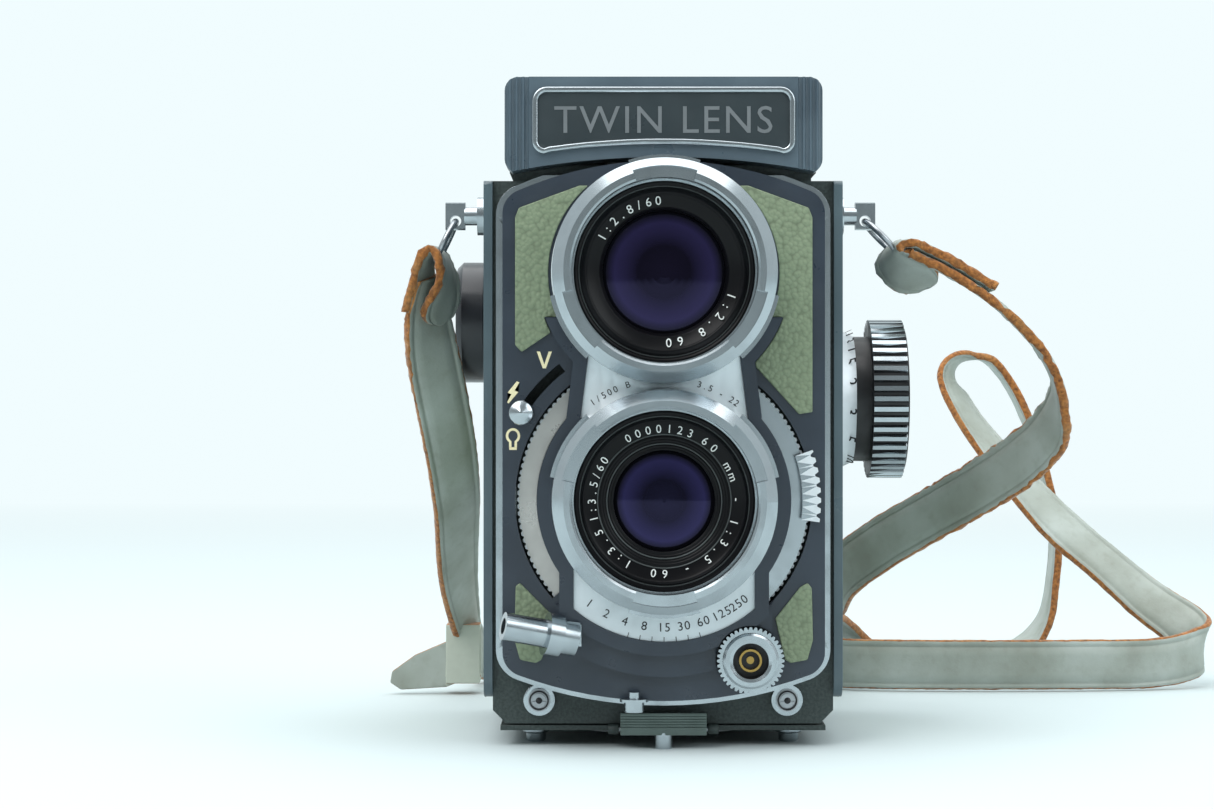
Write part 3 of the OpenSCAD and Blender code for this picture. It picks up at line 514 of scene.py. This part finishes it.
def round_edges(piece, width, angle=35):
    """Joins the loader's split vertices, then rounds and shades the edges, all as modifiers."""
    mesh = piece.data
    if "custom_normal" in mesh.attributes:
        mesh.attributes.remove(mesh.attributes["custom_normal"])
    for p in mesh.polygons:
        p.use_smooth = True
    weld = piece.modifiers.new("weld", "WELD")
    weld.merge_threshold = 2e-6
    if width:
        bevel = piece.modifiers.new("bevel", "BEVEL")
        bevel.width, bevel.segments = width * MM, 2
        bevel.limit_method, bevel.angle_limit = "ANGLE", math.radians(angle)
    normals = piece.modifiers.new("normals", "WEIGHTED_NORMAL")
    normals.mode, normals.weight = "FACE_AREA", 50


def dress_nodes():
    for key, names in DRESS.items():
        for name in names.split():
            piece = nodes[name]
            piece.data.materials.clear()
            piece.data.materials.append(MAT[key])
            if name in ROUNDED:
                round_edges(piece, ROUNDED[name])


# Mesh helpers ----------------------------------------------------------------


def add_piece(name, mesh, body, materials, slot=None, smooth=True):
    mesh.name = name
    piece = bpy.data.objects.new(name, mesh)
    bpy.context.scene.collection.objects.link(piece)
    for m in materials:
        mesh.materials.append(m)
    for p in mesh.polygons:
        p.use_smooth = smooth
    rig.ride(piece, body)
    if slot:
        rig.slot(piece, slot)
    return piece


def lathe(name, profile, x, z, body, material, slot, steps=160):
    """A closed ring or disc about a lens axis, from (radius, Y) points in millimetres."""
    bm = bmesh.new()
    rings = []
    for i in range(steps):
        a = 2 * math.pi * i / steps
        rings.append([
            bm.verts.new(Vector((x + r * math.cos(a), y, z + r * math.sin(a))) * MM) for r, y in profile
        ])
    for i in range(steps):
        a, b = rings[i], rings[(i + 1) % steps]
        for k in range(len(profile)):
            j = (k + 1) % len(profile)
            if profile[k][0] or profile[j][0]:
                bm.faces.new((a[k], a[j], b[j], b[k]))
    bmesh.ops.remove_doubles(bm, verts=bm.verts, dist=1e-7)
    bmesh.ops.recalc_face_normals(bm, faces=bm.faces)
    mesh = bpy.data.meshes.new(name)
    bm.to_mesh(mesh)
    bm.free()
    piece = add_piece(name, mesh, body, [material], slot)
    round_edges(piece, 0)
    return piece


def glyph(text, size, depth=0.05):
    """The mesh of a short text, flat on X and Y and centred, in millimetres."""
    data = bpy.data.curves.new("glyph", "FONT")
    data.body, data.size, data.extrude = text, size, depth / 2
    data.align_x, data.align_y = "CENTER", "CENTER"
    data.space_character = 1.12
    data.resolution_u = 3
    holder = bpy.data.objects.new("glyph", data)
    bpy.context.scene.collection.objects.link(holder)
    graph = bpy.context.evaluated_depsgraph_get()
    mesh = bpy.data.meshes.new_from_object(holder.evaluated_get(graph))
    bpy.data.objects.remove(holder)
    return mesh


def letters(name, marks, body, material, slot):
    """Joins marks, each (text, size, matrix from the text's own plane to the frame in millimetres)."""
    bm = bmesh.new()
    for text, size, matrix in marks:
        mesh = glyph(text, size)
        mesh.transform(Matrix.Scale(MM, 4) @ matrix)
        bm.from_mesh(mesh)
    bmesh.ops.remove_doubles(bm, verts=bm.verts, dist=1e-7)
    mesh = bpy.data.meshes.new(name)
    bm.to_mesh(mesh)
    bm.free()
    return add_piece(name, mesh, body, [material], slot, smooth=False)


# Turns a shape on X and Y to face the viewer
FACING = Matrix(((1, 0, 0, 0), (0, 0, -1, 0), (0, 1, 0, 0), (0, 0, 0, 1)))


def on_front(x, y, z, turn=0.0):
    """Stands a text up at a place, facing the viewer, turned clockwise by that many degrees."""
    return Matrix.Translation((x, y, z)) @ FACING @ Matrix.Rotation(math.radians(-turn), 4, "Z")


def round_text(text, z, radius, y, size, first, step, inward=False):
    """Marks along a circle, clockwise from the angle first after twelve o'clock."""
    marks = []
    for i, letter in enumerate(text):
        a = first + step * i
        if letter != " ":
            rad = math.radians(a)
            turn = a + 180 if inward else a
            place = on_front(radius * math.sin(rad), y, z + radius * math.cos(rad), turn)
            marks.append((letter, size, place))
    return marks


# Strap -----------------------------------------------------------------------

# Centre and width direction of the strap, from the left wire ring to the right one, in millimetres
STRAP_ROUTE = [
    [-46, -4, 89, 3, 9, 0], [-46.3, -2.5, 83, 6, 7, 1], [-45.6, 0.5, 76, 8, 5, 1], [-44.6, 6, 69, 9, 4, 1],
    [-43.4, 13, 61, 9, 3, 2], [-42.4, 22, 52, 8, 4, 2], [-42, 32, 43, 8, 5, 3], [-42.4, 41.5, 35, 7, 6, 3],
    [-42.6, 52, 27, 6, 6, 4], [-42, 62, 19, 4, 5, 6], [-41, 71, 12, 2, 2, 9], [-40, 81, 8, 1, 0, 9],
    [-38, 92, 6, 0, 0, 1], [-32, 103, 6, 0, 0, 1], [-21, 110, 6, 0, 0, 1], [-7, 113, 6, 0, 0, 1],
    [8, 113, 6, 0, 0, 1], [22, 110, 6, 0, 0, 1], [33, 103, 6, 0, 0, 1], [37, 92, 6, 0, 0, 1],
    [38, 81, 6, 0, 0, 1], [43, 73, 6, 0, 0, 1], [53, 70, 6, 0, 0, 1], [67, 69, 6, 0, 0, 1],
    [82, 69, 6, 0, 0, 1], [97, 70, 6, 0, 0, 1], [110, 72, 6, 0, 0, 1], [119, 75, 7, 0, 0, 1],
    [124, 80, 9, 1, 1, 9], [122, 86, 13, 3, 3, 8], [114, 91, 19, 4, 4, 6], [105, 95, 27, 4, 5, 5],
    [96, 99, 35, 4, 5, 5], [88, 104, 44, 4, 6, 4], [81, 109, 53, 4, 7, 3], [75, 114, 62, 4, 8, 2],
    [72, 119, 70, 3, 8, 2], [75, 124, 75, 1, 9, 1], [82, 127, 75, 0, 9, 0], [88, 128, 68, 0, 9, 0],
    [93, 128, 57, 0, 9, 0], [96, 127, 46, 0, 9, 0], [98, 125, 34, 0, 9, 0], [97, 121, 23, 0, 9, 0],
    [94, 116, 13, 0, 9, 1], [87, 110, 6, -1, 8, 2], [77, 104, 4, -1, 7, 3], [66, 99, 4, -2, 7, 3],
    [56, 94, 6, -3, 7, 2], [47, 89, 10, -5, 7, 1], [41, 82, 14, -7, 5, 0], [37, 74, 17, -9, 2, 1],
    [36, 64, 19, -9, 1, 4], [37, 54, 22, -7, 1, 6], [40, 44, 28, -4, 2, 8], [48, 35, 35, -4, 2, 8],
    [57, 27, 41, -4, 3, 8], [66, 19, 47, -5, 3, 7], [74, 13, 53, -5, 4, 6], [79, 8, 59, -4, 6, 4],
    [80, 3, 66, 0, 9, 1], [77, 0, 73, 1, 9, 0], [72, -2, 79, 1.2, 9, 0], [65, -4, 85, 1.2, 9, 0.4],
    [57, -5, 90, 1, 9, 0.4], [49, -5, 94, 1, 9, 0.4],
]
# Section of the leather, across the strap and through it: each face has a crease along both sides
FACE = [(-5.5, 0.45), (-5.2, 0.85), (-4.4, 0.9), (-4.1, 0.62), (-3.8, 0.9), (-2.0, 0.93),
        (0.0, 0.94), (2.0, 0.93), (3.8, 0.9), (4.1, 0.62), (4.4, 0.9), (5.2, 0.85), (5.5, 0.45)]
SECTION = FACE + [(-u, -v) for u, v in FACE]
# The section's spans that are cut leather
RAW_SIDES = {0, 11, 12, 13, 24, 25}


def smooth_route(rows, step):
    """Catmull-Rom points about step millimetres apart along the route: centre and width direction."""
    keys = [(Vector(r[:3]), Vector(r[3:]).normalized()) for r in rows]
    keys = [keys[0]] + keys + [keys[-1]]
    out = []

    def spline(a, b, c, d, t):
        return 0.5 * ((2 * b) + (c - a) * t + (2 * a - 5 * b + 4 * c - d) * t * t
                      + (3 * b - a - 3 * c + d) * t * t * t)

    for i in range(1, len(keys) - 2):
        (p0, w0), (p1, w1), (p2, w2), (p3, w3) = keys[i - 1:i + 3]
        parts = max(1, round((p2 - p1).length / step))
        for k in range(parts):
            t = k / parts
            out.append((spline(p0, p1, p2, p3, t), spline(w0, w1, w2, w3, t).normalized()))
    out.append(keys[-1])
    return out


def strap_mesh(name, route, fuzz, width=lambda run: 1.0):
    """Sweeps the section along the route, with the cut sides made ragged by fuzz and painted raw."""
    bm = bmesh.new()
    points = [p for p, _ in route]
    run, rings = 0.0, []
    for i, (p, w) in enumerate(route):
        run += (p - points[i - 1]).length if i else 0.0
        along = (points[min(i + 1, len(points) - 1)] - points[max(i - 1, 0)]).normalized()
        across = (w - along * w.dot(along)).normalized()
        up = across.cross(along)
        half, rough, ring = width(run), fuzz(run), []
        for k, (u, v) in enumerate(SECTION):
            spot = p + across * (u * half) + up * v
            if abs(u) > 5.1:
                n = noise.noise_vector(spot * 0.45) * 0.5 + noise.noise_vector(spot * 1.7) * 0.7
                outwards = across * n.x * (1 if u > 0 else -1)
                spot += (outwards + up * n.y * 0.7) * rough * 2
            ring.append(bm.verts.new(spot * MM))
        rings.append(ring)
    count = len(SECTION)
    for a, b in zip(rings, rings[1:]):
        for k in range(count):
            face = bm.faces.new((a[k], a[(k + 1) % count], b[(k + 1) % count], b[k]))
            face.material_index = 1 if k in RAW_SIDES else 0
    for ring, order in ((rings[0], 1), (rings[-1], -1)):
        cap = bm.faces.new(ring[::-order])
        cap.material_index = 1
    bmesh.ops.recalc_face_normals(bm, faces=bm.faces)
    mesh = bpy.data.meshes.new(name)
    bm.to_mesh(mesh)
    bm.free()
    return mesh


def tapered(total, reach):
    """Width along a tab whose last reach millimetres are rounded off."""
    def width(run):
        t = max(0.0, run - (total - reach)) / reach
        return math.sqrt(max(0.02, 1 - t * t))
    return width


def make_strap():
    """The strap and its two turned ends; the seed makes the frayed sides the same in every run."""
    noise.seed_set(FRAY_SEED)
    route = smooth_route(STRAP_ROUTE, 1.0)
    total = sum((b[0] - a[0]).length for a, b in zip(route, route[1:]))

    def fuzz(run):
        """The cut sides are more frayed towards both ends."""
        return 0.08 + 0.3 * max(0, 1 - run / 40) + 0.36 * min(1, max(0, (run - total + 95) / 25))

    leather = [MAT["strap"], MAT["raw"]]
    mesh = strap_mesh("strap_leather", route, fuzz)
    strap = add_piece("strap_leather", mesh, "root", leather, "strap_leather")
    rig.replaces(strap, "strap")
    left = smooth_route([
        [-47.6, -2.5, 83, 5, 8, 1], [-47.2, -3.6, 87.5, 3, 9, 0], [-46.6, -4.8, 91.8, 1.5, 9, 0],
        [-45, -5, 94.4, 1, 9, 0], [-43.2, -5, 93, 1, 9, 0], [-42.4, -4, 89, 2, 9, 1],
        [-43.4, -2, 84.5, 5, 8, 1], [-44.2, 0, 80, 6, 7, 1]], 0.8)
    right = smooth_route([
        [65, -4, 86.8, -2, 9, 0], [57, -5, 91.8, -1, 9, 0], [50, -5, 95.2, -1, 9, 0],
        [46.6, -5, 95.2, -1, 9, 0], [45.6, -5.2, 93, -3, 8, -3], [47.6, -5.6, 90.6, -4, 6, -4],
        [51, -5.4, 89.4, -4, 6, -4], [54.5, -4.8, 88.6, -3, 8, -3]], 0.8)
    ends = []
    for name, path in (("strap_loop_left", left), ("strap_loop_right", right)):
        size = sum((b[0] - a[0]).length for a, b in zip(path, path[1:]))
        mesh = strap_mesh(name, path, lambda run: 0.4, tapered(size, 4.5))
        ends.append(add_piece(name, mesh, "root", leather, "strap_leather"))
    keeper = nodes["strap_keeper"]
    path = [[c * MM for c in row[:3]] for row in STRAP_ROUTE]
    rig.cord(strap, exit=path[0], length=total * MM, diameter=STRAP_W * MM, far_end="object",
            path=path, with_pieces=ends + [keeper])


# Lenses ----------------------------------------------------------------------


def lens_rings():
    """Black rings that hold the glass: stepped on the viewing lens, finely turned on the taking lens."""
    wide = [(16.6, -46.6), (16.6, -44.0), (11.3, -44.0), (11.3, -45.2), (11.9, -45.4), (12.0, -45.8),
            (14.1, -46.1), (14.2, -46.9), (14.9, -47.0), (15.0, -46.2), (16.0, -46.3), (16.1, -46.6)]
    lathe("viewing_ring_black", wide, 0, VIEWING_Z, "lens_board", MAT["gloss"], "black_metal")
    fine = [(16.6, -46.6), (16.6, -44.0), (9.3, -44.0), (9.3, -44.9)]
    r = 9.5
    while r < 12.0:
        depth = -44.9 - (r - 9.3) * 0.42
        fine += [(r, depth), (r + 0.3, depth - 0.06), (r + 0.36, depth + 0.05)]
        r += 0.5
    fine += [(12.2, -46.1), (14.5, -46.25), (14.6, -46.9), (15.1, -46.9), (15.2, -46.3), (16.1, -46.6)]
    lathe("taking_ring_black", fine, 0, TAKING_Z, "lens_board", MAT["gloss"], "black_metal")
    lines = (("viewing_line", VIEWING_Z, 15.5, -46.3), ("taking_line_1", TAKING_Z, 12.1, -46.15),
             ("taking_line_2", TAKING_Z, 10.4, -45.45), ("taking_line_3", TAKING_Z, 15.4, -46.45))
    for name, z, radius, y in lines:
        line = [(radius, y), (radius + 0.14, y - 0.08), (radius + 0.28, y), (radius + 0.14, y + 0.1)]
        lathe(name, line, 0, z, "lens_board", MAT["line"], "black_metal")
    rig.replaces(bpy.data.objects["viewing_ring_black"], "viewing_name_ring")
    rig.replaces(bpy.data.objects["taking_ring_black"], "taking_name_ring")


def lens_numbers():
    """Generic apertures, focal lengths and a zeroed number round the two black rings."""
    high, y = 2.3, -46.32
    marks = round_text("1:2.8/60", VIEWING_Z, 12.95, y, high, -61, 8)
    marks += round_text("1:2.8 60", VIEWING_Z, 12.95, y, high, 110, 9.5)
    marks += round_text("1:3.5/60", TAKING_Z, 13.2, y - 0.05, 2.15, -104, 6.9)
    marks += round_text("0000123", TAKING_Z, 13.2, y - 0.05, 2.15, -30, 8.5)
    marks += round_text("60 mm - 1:3.5 - 60", TAKING_Z, 13.2, y - 0.05, 2.15, 34, 9.1)
    marks += round_text("1:3.5", TAKING_Z, 13.2, y - 0.05, 2.15, 210, 8.6)
    letters("lens_numbers", marks, "lens_board", MAT["white"], "dial_white")


def face_numbers():
    """Generic shutter times below the taking lens with ticks, and two ranges above it."""
    y, marks = FACE_FRONT - 0.03, []
    for a, text in zip(range(-36, 37, 9), "1 2 4 8 15 30 60 125 250".split()):
        marks += round_text([text], TAKING_Z, 23.4, y, 2.3, 180 - a, 0, inward=True)
    for a in (-15, -10, -5, 0, 5, 10, 15):
        marks += round_text("I", TAKING_Z, 25.6, y, 1.3, 180 - a, 0, inward=True)
    marks += round_text("1/500 B", TAKING_Z, 22.3, y, 1.7, -36, 3.1)
    marks += round_text("3.5 - 22", TAKING_Z, 22.3, y, 1.7, 17, 2.8)
    letters("face_numbers", marks, "lens_board", MAT["ink"], "black_metal")


def name_marks():
    marks = [("TWIN LENS", 7.2, on_front(0, -39.45, 116.5))]
    letters("name_letters", marks, "root", MAT["steel"], "satin_chrome")


def slab_piece(name, rings, place, depth, body, material, slot, smooth=False):
    """Flat plates from outlines on the X and Y of a plane, raised along its Z, in millimetres."""
    bm = bmesh.new()
    for outline in rings:
        front = [bm.verts.new((place @ Vector((x, y, depth))) * MM) for x, y in outline]
        back = [bm.verts.new((place @ Vector((x, y, 0))) * MM) for x, y in outline]
        bm.faces.new(front)
        bm.faces.new(back[::-1])
        for i in range(len(front)):
            j = (i + 1) % len(front)
            bm.faces.new((front[j], front[i], back[i], back[j]))
    bmesh.ops.triangulate(bm, faces=bm.faces)
    bmesh.ops.recalc_face_normals(bm, faces=bm.faces)
    mesh = bpy.data.meshes.new(name)
    bm.to_mesh(mesh)
    bm.free()
    return add_piece(name, mesh, body, [material], slot, smooth)


def rounded_box(x0, y0, x1, y1, r, parts=6):
    """An outline with rounded corners, counterclockwise."""
    out = []
    corners = ((x1 - r, y1 - r, 0), (x0 + r, y1 - r, 90), (x0 + r, y0 + r, 180), (x1 - r, y0 + r, 270))
    for cx, cy, start in corners:
        for i in range(parts + 1):
            a = math.radians(start + 90 * i / parts)
            out.append((cx + r * math.cos(a), cy + r * math.sin(a)))
    return out


def leather_covers():
    """Leather let into the door's back and the side covers, clear of the knobs."""
    back = Matrix.Translation((0, BACK_FACE, 0)) @ Matrix.Rotation(math.radians(180), 4, "Z") @ FACING
    panel = slab_piece("back_leather", [rounded_box(-28.6, 9, 28.6, 97.5, 3)], back, 0.35, "door",
                       MAT["sage"], "sage_leather", smooth=True)
    round_edges(panel, 0.2)
    sides = (("left", -1, -28, WIND_Z - WIND_CLEAR), ("right", 1, -24, FOCUS_Z - FOCUS_CLEAR))
    for name, side, start, top in sides:
        turn = Matrix.Rotation(math.radians(90 * side), 4, "Z")
        place = Matrix.Translation((COVER_FACE * side, 0, 0)) @ turn @ FACING
        outline = rounded_box(start, 8, start + 52, top, 2.5)
        piece = slab_piece(f"{name}_leather", [outline], place, 0.25, "root", MAT["sage"],
                           "sage_leather", smooth=True)
        round_edges(piece, 0.15)


def lever_marks():
    """A V, a bolt and a bulb beside the sync lever."""
    def band(points, half):
        """Four-sided pieces of a line with that half width."""
        left, right = [], []
        for i, p in enumerate(points):
            ahead, behind = points[min(i + 1, len(points) - 1)], points[max(i - 1, 0)]
            along = (Vector(ahead) - Vector(behind)).normalized()
            side = Vector((-along.y, along.x)) * half
            left.append(tuple(Vector(p) + side))
            right.append(tuple(Vector(p) - side))
        return [[left[i], left[i + 1], right[i + 1], right[i]] for i in range(len(left) - 1)]

    vee = [[(-23.5, 73.8), (-22.9, 73.8), (-22.1, 71.4), (-21.3, 73.8), (-20.7, 73.8), (-21.8, 70.7),
            (-22.4, 70.7)]]
    bolt = [[(-27.2, 68.3), (-28.9, 66.2), (-28.2, 65.9), (-29.0, 64.4), (-28.7, 64.2), (-26.9, 66.3),
             (-27.6, 66.6), (-26.7, 68.1)]]
    arc = [(-27.9 + 1.1 * math.cos(math.radians(a)), 58.2 + 1.2 * math.sin(math.radians(a)))
           for a in range(-62, 243, 16)]
    bulb = band([(-27.4, 56.0)] + arc + [(-28.4, 56.0)], 0.23)
    bulb.append([(-28.6, 56.1), (-27.2, 56.1), (-27.2, 55.6), (-28.6, 55.6)])
    place = Matrix.Translation((0, BOARD_FACE, 0)) @ FACING
    slab_piece("lever_marks", vee + bolt + bulb, place, 0.05, "lens_board", MAT["cream"], "dial_white")


def tilt_about(x, y, turn):
    at = Matrix.Translation((x, y, 0))
    return at @ turn @ at.inverted()


def dial_numbers():
    """Distances round the focusing dial's cone, and a tick beside each."""
    marks, axis = [], Vector((0, FOCUS_Y, FOCUS_Z))
    lean = math.atan2(DIAL_IN_R - DIAL_OUT_R, DIAL_OUT - DIAL_IN)
    flat = Matrix.Identity(4)
    for i, text in enumerate("1 1.1 1.2 1.3 1.5 2 3 5 10".split()):
        a = 14.4 + 25.2 * (5 - i)
        spin = Matrix.Translation(axis) @ Matrix.Rotation(math.radians(-a), 4, "X")
        for mark, x, size in ((text, 36.6, 3.4), ("I", 34.9, 1.6)):
            tick = mark == "I"
            r = DIAL_IN_R - max(0, x - DIAL_IN) * math.tan(lean) + 0.03
            stand = Matrix(((0, 1, 0, x), (0, 0, -1, -r), (-1, 0, 0, 0), (0, 0, 0, 1)))
            tilt = flat if tick else Matrix.Rotation(-lean, 4, "Z")
            turned = Matrix.Rotation(math.radians(90), 4, "Z") if tick else flat
            marks.append((mark, size, spin @ tilt_about(x, -r, tilt) @ stand @ turned))
    letters("dial_numbers", marks, "focus", MAT["ink"], "black_metal")


# Small details of the CAD nodes ----------------------------------------------


def lever_cap():
    """Turned rings on the sync lever's knob."""
    profile = [(0, -42.3), (0, -42.55), (0.3, -42.75), (0.4, -42.5), (0.85, -42.7),
               (0.95, -42.5), (1.4, -42.66), (1.5, -42.48), (2.1, -42.58), (2.25, -42.3)]
    lathe("sync_knob_rings", profile, SYNC_X, SYNC_Z, "sync", MAT["chrome"], "satin_chrome", 64)


def paint_faces(name, keys, choose):
    """Adds materials to a node, and gives each face the one numbered by choose(centre, normal)."""
    mesh = nodes[name].data
    for key in keys:
        mesh.materials.append(MAT[key])
    for p in mesh.polygons:
        p.material_index = choose(p.center * 1000, p.normal)


# Faces of the milled teeth, which take dial white as a painted highlight.
def ring_tooth_highlight(c, normal):
    return math.hypot(c.x, c.z - TAKING_Z) > 26.9


def knob_rib(c, normal):
    outside = math.hypot(c.y - FOCUS_Y, c.z - FOCUS_Z) > 15.3
    return outside and 41.2 < c.x < 47.5 and abs(normal.x) < 0.5


def flash_well(c, normal):
    r = math.hypot(c.x - FLASH_X, c.z - FLASH_Z)
    if r >= 3.35 or c.y <= -44.95:
        return 0
    return 2 if c.y < -42.1 and r < 2.2 else 1


def keeper_side(c, normal):
    on_block = c.x > -46.1
    if abs(normal.z) > 0.6 or (not on_block and abs(normal.x) > 0.6):
        return 2
    return int(on_block)


def latch_foot(c, normal):
    return c.z < 2.55 and abs(c.x) < 1.8


def paint_details():
    """A painted highlight in dial white on the aperture and speed rings' teeth, bright ribs, the flash contact, the
    keeper's cut edges and the latch's bright foot.
    """
    paint_faces("focus_knob", ["chrome"], knob_rib)
    paint_faces("flash_socket", ["black", "brass"], flash_well)
    paint_faces("strap_keeper", ["keeper", "raw"], keeper_side)
    paint_faces("door_latch", ["chrome"], latch_foot)
    paint_faces("aperture_ring", ["dial"], ring_tooth_highlight)
    paint_faces("speed_ring", ["dial"], ring_tooth_highlight)


def screw_details():
    """A black ring and a black disc of painted shade in front of each of the two front screws, standing for the shade
    in the screw's groove and its dimple.
    """
    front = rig.box("trim_screws")[0].y * 1000
    for side, x in (("left", -SCREW_X), ("right", SCREW_X)):
        # Painted shade: black sheets a little proud of the screw face, not real recesses.
        for part, r0, r1 in (("groove", 1.55, 1.85), ("dimple", 0.0, 0.6)):
            ring = [(r0, front - 0.03), (r1, front - 0.03), (r1, front + 0.3), (r0, front + 0.3)]
            lathe(f"screw_{part}_{side}", ring, x, SCREW_Z, "root", MAT["black"], "black_metal", 40)


# Assembly --------------------------------------------------------------------


make_camera()
make_strap()
dress_nodes()
paint_details()
screw_details()
lever_cap()
lens_rings()
lens_numbers()
face_numbers()
name_marks()
lever_marks()
dial_numbers()
leather_covers()
make_floor()
make_world()
area_light("key", (-0.9, -1.0, 1.5), (0, 0, 0.06), (1.4, 1.4), 26)
area_light("fill", (1.3, -0.9, 0.9), (0, 0, 0.06), (1.2, 1.2), 12, (0.93, 0.98, 1.0))
area_light("top", (0.1, 0.1, 1.7), (0, 0, 0.0), (2.0, 1.6), 22)
view = bpy.context.scene.view_settings
view.view_transform, view.look, view.exposure = "Standard", "None", 0.0

with open("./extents.json", "w") as f:
    json.dump({"cad": [list(c) for c in cad_box], "looks": [list(c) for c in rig.bounds()]}, f)
